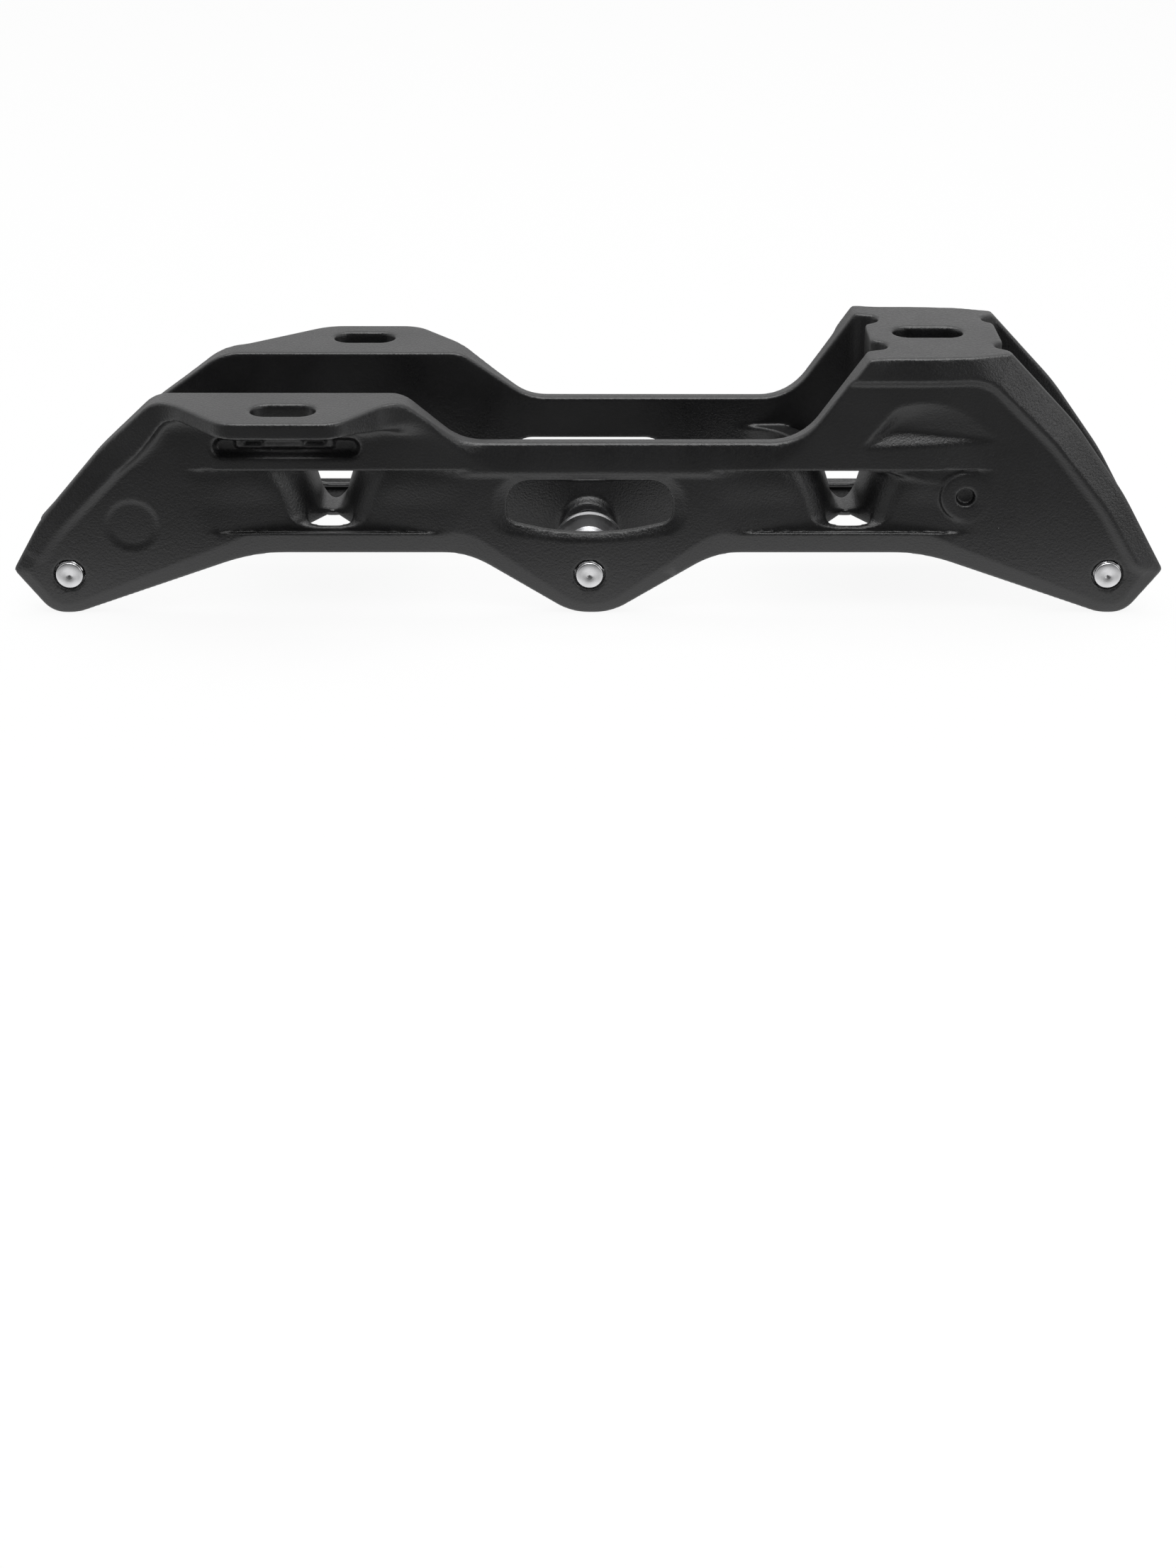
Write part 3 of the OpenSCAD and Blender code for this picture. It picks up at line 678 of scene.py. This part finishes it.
class SKATE_OT_axles(bpy.types.Operator):
    """Build the three axles with their key sockets and threads"""

    bl_idname = "skate.axles"
    bl_label = "Axles"

    def execute(self, context):
        settings = context.scene.skate_frame
        s, t = Millimetres(settings.casting), Millimetres(settings.turned)
        look = settings.finishes
        material = turned_material("turned_steel", look.steel, look.steel_roughness)
        for place, at in PLACES:
            piece = turned_object("axle_" + place + "_turned", axle_loops(s, t), False)
            piece.location = (at * s.axle_spacing * MM, 0, s.axle_height * MM)
            piece.data.materials.append(material)
            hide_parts("axle_" + place)
            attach(piece, place + "_axle")
        return {"FINISHED"}


def axle_loops(s, t):
    """Loops of an axle from the bottom of its key socket to the dimple in its tip."""
    half_width = s.wall_gap / 2 + s.wall_thickness
    outer = half_width - 0.1
    head, shaft, thread = t.head_diameter / 2, t.shaft_diameter / 2, t.thread_diameter / 2
    neck = half_width + s.boss_gap / 2 - 0.3
    tip = 2 * half_width + t.tip_proud - 0.1
    socket = hexagon(t.socket_width)
    mouth = t.socket_width / 2 / math.cos(math.pi / 6) + 0.12
    ridge = 0.45
    root = thread - ridge
    steps = [
        (0.05, t.socket_depth + 0.7), (1.6, t.socket_depth), (socket, t.socket_depth),
        (socket, 0.4), (mouth, 0),
        (head - 0.7, 0), (head - 0.3, 0.12), (head - 0.07, 0.35), (head, 0.7),
        (head, t.head_thickness - 0.2), (head - 0.2, t.head_thickness),
        (shaft + 0.3, t.head_thickness), (shaft, t.head_thickness + 0.3), (shaft, neck - 1.6),
        (shaft - 0.12, neck - 1.45), (root, neck - 0.6), (root, neck),
    ]
    turn = np.arange(TURNED_POINTS) / TURNED_POINTS
    for along in np.arange(neck + 0.2, tip - 0.6, t.thread_pitch / 8):
        wave = np.abs(((along / t.thread_pitch + turn) % 1.0) - 0.5) * 2
        fade = ease(neck + 0.2, neck + 1.0, along)
        steps.append((root + ridge * fade * np.clip(1.5 - 1.9 * wave, 0, 1), along))
    steps += [
        (thread - 0.12, tip - 0.5), (thread - 0.2, tip - 0.2), (thread - 0.35, tip - 0.05),
        (thread - 0.55, tip), (1.0, tip), (0.8, tip - 0.08), (0.05, tip - 0.5),
    ]
    return [(radius, outer - along) for radius, along in steps]


class SKATE_OT_spacers(bpy.types.Operator):
    """Build the three flanged bearing spacers"""

    bl_idname = "skate.spacers"
    bl_label = "Bearing Spacers"

    def execute(self, context):
        settings = context.scene.skate_frame
        s, t = Millimetres(settings.casting), Millimetres(settings.turned)
        look = settings.finishes
        material = turned_material("turned_alloy", look.alloy, look.alloy_roughness)
        for place, at in PLACES:
            piece = turned_object("bearing_spacer_" + place + "_turned", spacer_loops(t), True)
            piece.location = (at * s.axle_spacing * MM, 0, s.axle_height * MM)
            piece.data.materials.append(material)
            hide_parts("bearing_spacer_" + place)
            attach(piece, place + "_spacer")
        return {"FINISHED"}


def spacer_loops(t):
    """Loops of a spacer around its own section."""
    bore, sleeve, flange = t.spacer_bore / 2, t.spacer_diameter / 2, t.flange_diameter / 2
    end, rim = t.spacer_length / 2, t.flange_thickness / 2
    half = [
        (bore, end - 0.35), (bore + 0.35, end),
        (sleeve - 0.35, end), (sleeve - 0.1, end - 0.1), (sleeve, end - 0.35),
        (sleeve, rim + 0.35), (sleeve + 0.1, rim + 0.1), (sleeve + 0.35, rim),
        (flange - 0.25, rim), (flange - 0.07, rim - 0.07), (flange, rim - 0.25),
    ]
    return half[::-1] + [(radius, -along) for radius, along in half]


# Finishes

class Graph:
    """Short calls for the nodes of a new material or world."""

    def __init__(self, owner):
        owner.use_nodes = True
        self.owner = owner
        self.nodes, self.links = owner.node_tree.nodes, owner.node_tree.links

    def add(self, kind, inputs=(), **settings):
        """New node with settings, and inputs given as numbers or as other nodes' outputs."""
        node = self.nodes.new(kind)
        for name, value in settings.items():
            setattr(node, name, value)
        for key, value in dict(inputs).items():
            self.put(node.inputs[key], value)
        return node

    def finish(self, **inputs):
        """Sets the shader's inputs, with underscores for the spaces in their names."""
        shader = self.nodes["Principled BSDF"]
        for name, value in inputs.items():
            self.put(shader.inputs[name.replace("_", " ")], value)
        return self.owner

    def put(self, socket, value):
        """Sets a socket to a number or links an output to it."""
        if isinstance(value, bpy.types.NodeSocket):
            self.links.new(value, socket)
        else:
            socket.default_value = value

    def math(self, operation, first, second=0.0):
        """Result of one sum."""
        return self.add("ShaderNodeMath", {0: first, 1: second}, operation=operation).outputs[0]

    def noise(self, vector, scale, detail, roughness):
        """Soft noise from 0 to 1."""
        values = {"Vector": vector, "Scale": scale, "Detail": detail, "Roughness": roughness}
        return self.add("ShaderNodeTexNoise", values).outputs["Fac"]

    def spread(self, value, low, high, to_low, to_high, **settings):
        """A value moved from one range to another, and kept inside it."""
        values = {
            "Value": value, "From Min": low, "From Max": high, "To Min": to_low, "To Max": to_high
        }
        return self.add("ShaderNodeMapRange", values, **settings).outputs["Result"]

    def stretch(self, noise, low=0.0, high=1.0):
        """The middle of a noise's range moved to another range."""
        return self.spread(noise, 0.3, 0.7, low, high)

    def mix(self, factor, first, second):
        """Colour between two others."""
        values = {0: factor, 6: first, 7: second}
        return self.add("ShaderNodeMix", values, data_type="RGBA").outputs[2]

    def bump(self, height, distance, strength):
        """Normal of a relief."""
        values = {"Height": height, "Distance": distance, "Strength": strength}
        return self.add("ShaderNodeBump", values).outputs["Normal"]


def shaded(tint, factor):
    """A colour made darker or paler, with its alpha."""
    return (*(c * factor for c in tint), 1)


def coat_material(finishes):
    """Black textured coat: fine orange peel, uneven gloss, edges paler by wear and by a painted
    highlight, and a little dust.
    """
    g = Graph(bpy.data.materials.new("black_coat"))
    place = g.add("ShaderNodeTexCoord").outputs["Object"]
    peel = g.noise(place, 1 / finishes.grain, 3.0, 0.55)
    pores = g.noise(place, 2.6 / finishes.grain, 2.0, 0.6)
    cloud = g.noise(place, 55, 3.0, 0.55)
    height = g.math("ADD", g.stretch(peel), g.math("MULTIPLY", pores, 0.35))
    # Paler along convex edges: partly wear, partly a painted highlight where the rounded edges
    # catch the light.
    edge = g.spread(g.add("ShaderNodeNewGeometry").outputs["Pointiness"], 0.52, 0.62, 0, 1)
    cells = g.add("ShaderNodeTexVoronoi", {"Vector": place, "Scale": 210.0})
    draw = g.add("ShaderNodeSeparateColor", {0: cells.outputs["Color"]}).outputs[0]
    near_middle = g.math("LESS_THAN", cells.outputs["Distance"], 0.022)
    speck = g.math("MULTIPLY", near_middle, g.math("GREATER_THAN", draw, 0.8))
    worn_and_highlit_edge, dust = (0.07, 0.07, 0.072, 1), (0.32, 0.32, 0.32, 1)
    tone = g.mix(g.stretch(cloud), shaded(finishes.coat, 0.85), shaded(finishes.coat, 1.2))
    tone = g.mix(g.math("MULTIPLY", edge, 0.45), tone, worn_and_highlit_edge)
    tone = g.mix(g.math("MULTIPLY", speck, 0.6), tone, dust)
    uneven = g.math("ADD", g.stretch(peel, -0.06, 0.06), g.stretch(cloud, -0.04, 0.04))
    return g.finish(
        Base_Color=tone,
        Roughness=g.math("ADD", uneven, finishes.coat_roughness),
        Normal=g.bump(height, COAT_RELIEF, 0.55),
        Specular_IOR_Level=finishes.coat_gloss,
    )


def turned_material(name, tint, roughness):
    """Turned metal with fine rings left by the tool."""
    g = Graph(bpy.data.materials.new(name))
    place = g.add("ShaderNodeTexCoord").outputs["Object"]
    split = g.add("ShaderNodeSeparateXYZ", {0: place})
    square = [g.math("MULTIPLY", split.outputs[axis], split.outputs[axis]) for axis in ("X", "Z")]
    radius = g.math("SQRT", g.math("ADD", *square))
    ring = g.add("ShaderNodeCombineXYZ", {"X": radius, "Y": split.outputs["Y"]}).outputs[0]
    lines = g.noise(ring, 5200, 2.0, 0.6)
    broad = g.noise(ring, 900, 2.0, 0.5)
    smear = g.noise(place, 300, 3.0, 0.55)
    uneven = g.math("ADD", g.stretch(broad, -0.07, 0.07), g.stretch(smear, -0.05, 0.05))
    return g.finish(
        Base_Color=g.mix(g.spread(smear, 0.35, 0.7, 0, 1), shaded(tint, 1), shaded(tint, 0.8)),
        Roughness=g.math("ADD", uneven, roughness),
        Normal=g.bump(lines, TOOL_RELIEF, 0.6),
        Metallic=1.0,
    )


class SKATE_OT_stage(bpy.types.Operator):
    """Set the floor, the lights, the background and the camera"""

    bl_idname = "skate.stage"
    bl_label = "Stage"

    def execute(self, context):
        scene, finishes = context.scene, context.scene.skate_frame.finishes
        half = FLOOR_HALF
        corners = [(-half, -half, 0), (half, -half, 0), (half, half, 0), (-half, half, 0)]
        floor = mesh_object("floor", corners, [(0, 1, 2, 3)], False)
        floor.data.materials.append(floor_material(finishes))
        scene.world = white_world()
        for light in LIGHTS:
            soft_light(scene, *light)
        set_camera(scene)
        scene.view_settings.view_transform = "Standard"
        return {"FINISHED"}


def seen_directly(graph):
    """1 for rays that show the background itself: from the camera, or by way of metal."""
    path = graph.add("ShaderNodeLightPath").outputs
    seen = graph.math("MAXIMUM", path["Is Camera Ray"], path["Is Glossy Ray"])
    return graph.math("MAXIMUM", seen, path["Is Transmission Ray"])


def floor_material(finishes):
    """Pale floor, nearly white to the camera; in the metal it fades to the front and has a painted
    shadow under and behind the frame.
    """
    g = Graph(bpy.data.materials.new("pale_floor"))
    place = g.add("ShaderNodeTexCoord").outputs["Object"]
    mottle = g.noise(place, 30, 3.0, 0.5)
    across = g.add("ShaderNodeSeparateXYZ", {0: place}).outputs["Y"]
    camera = g.add("ShaderNodeLightPath").outputs["Is Camera Ray"]
    glow_with_painted_shadow = g.spread(across, -0.076, -0.034, 0.24, 1)
    # Painted shadow: in the metal the floor's glow drops under and behind the frame, where the
    # frame would shade it.
    glow_with_painted_shadow = g.math("MINIMUM", glow_with_painted_shadow, g.spread(across, -0.012, 0.012, 1, 0.3))
    glow_with_painted_shadow = g.math("MAXIMUM", glow_with_painted_shadow, camera)
    tone = g.mix(g.stretch(mottle), shaded(finishes.floor, 1), shaded(finishes.floor, 0.985))
    g.finish(Base_Color=tone, Roughness=0.9, Specular_IOR_Level=0.0)
    glow = g.add("ShaderNodeEmission", {"Color": (1, 1, 1, 1), "Strength": glow_with_painted_shadow}).outputs[0]
    # The camera sees a little of the lit floor under the glow, so the shadow shows.
    shown = g.math("SUBTRACT", seen_directly(g), g.math("MULTIPLY", camera, 0.09))
    lit = g.nodes["Principled BSDF"].outputs[0]
    both = g.add("ShaderNodeMixShader", {0: shown, 1: lit, 2: glow}).outputs[0]
    g.put(g.nodes["Material Output"].inputs["Surface"], both)
    return g.owner


def white_world():
    """Even studio light, white to the camera, with a darker room in front in the metal."""
    g = Graph(bpy.data.worlds.new("studio"))
    direction = g.add("ShaderNodeTexCoord").outputs["Generated"]
    across = g.add("ShaderNodeSeparateXYZ", {0: direction}).outputs["Y"]
    room = g.spread(across, -0.85, -0.2, 0.05, 0.83, interpolation_type="SMOOTHSTEP")
    shown = g.math("MAXIMUM", g.add("ShaderNodeLightPath").outputs["Is Camera Ray"], room)
    background = g.nodes["Background"]
    g.put(background.inputs["Color"], (1, 1, 1, 1))
    g.put(background.inputs["Strength"], g.spread(seen_directly(g), 0, 1, 0.4, shown))
    return g.owner


def soft_light(scene, name, place, target, size, power):
    """Square soft box that faces a target."""
    lamp = bpy.data.lights.new(name, "AREA")
    lamp.energy, lamp.size = power, size
    box = bpy.data.objects.new(name, lamp)
    box.location = place
    box.rotation_euler = (Vector(target) - Vector(place)).to_track_quat("-Z", "Y").to_euler()
    scene.collection.objects.link(box)


def set_camera(scene):
    """Camera at the photograph's viewing angle."""
    yaw, pitch, roll = (math.radians(angle) for angle in CAMERA_ANGLES)
    flat = math.cos(pitch)
    forward = np.array((math.sin(yaw) * flat, math.cos(yaw) * flat, -math.sin(pitch)))
    level = np.array((math.cos(yaw), -math.sin(yaw), 0))
    upright = np.cross(level, forward)
    right = math.cos(roll) * level + math.sin(roll) * upright
    up = math.cos(roll) * upright - math.sin(roll) * level
    data = bpy.data.cameras.new("camera")
    data.sensor_fit = "AUTO"
    data.sensor_width = 36
    data.lens = FOCAL_LENGTH / PICTURE_HEIGHT * data.sensor_width
    data.shift_y = VIEW_ROW / PICTURE_HEIGHT - 0.5
    data.clip_start, data.clip_end = 0.01, 20
    camera = bpy.data.objects.new("camera", data)
    axes = np.eye(4)
    axes[:3, 0], axes[:3, 1], axes[:3, 2] = right, up, -forward
    axes[:3, 3] = CAMERA_PLACE
    camera.matrix_world = Matrix(axes.tolist())
    scene.collection.objects.link(camera)
    scene.camera = camera


class SKATE_PT_panel(bpy.types.Panel):
    """Builds the skate frame piece by piece"""

    bl_idname = "SKATE_PT_panel"
    bl_label = "Skate Frame"
    bl_space_type = "VIEW_3D"
    bl_region_type = "UI"
    bl_category = "Skate Frame"

    def draw(self, context):
        for operator in OPERATORS:
            self.layout.operator(operator.bl_idname)


OPERATORS = (SKATE_OT_casting, SKATE_OT_axles, SKATE_OT_spacers, SKATE_OT_stage)
CLASSES = (CastingSizes, TurnedSizes, Finishes, FrameSettings, *OPERATORS, SKATE_PT_panel)


def register():
    for cls in CLASSES:
        bpy.utils.register_class(cls)
    bpy.types.Scene.skate_frame = PointerProperty(type=FrameSettings)


def unregister():
    del bpy.types.Scene.skate_frame
    for cls in reversed(CLASSES):
        bpy.utils.unregister_class(cls)


def main():
    register()
    for operator in OPERATORS:
        group, name = operator.bl_idname.split(".")
        getattr(getattr(bpy.ops, group), name)()


if __name__ == "__main__":
    main()
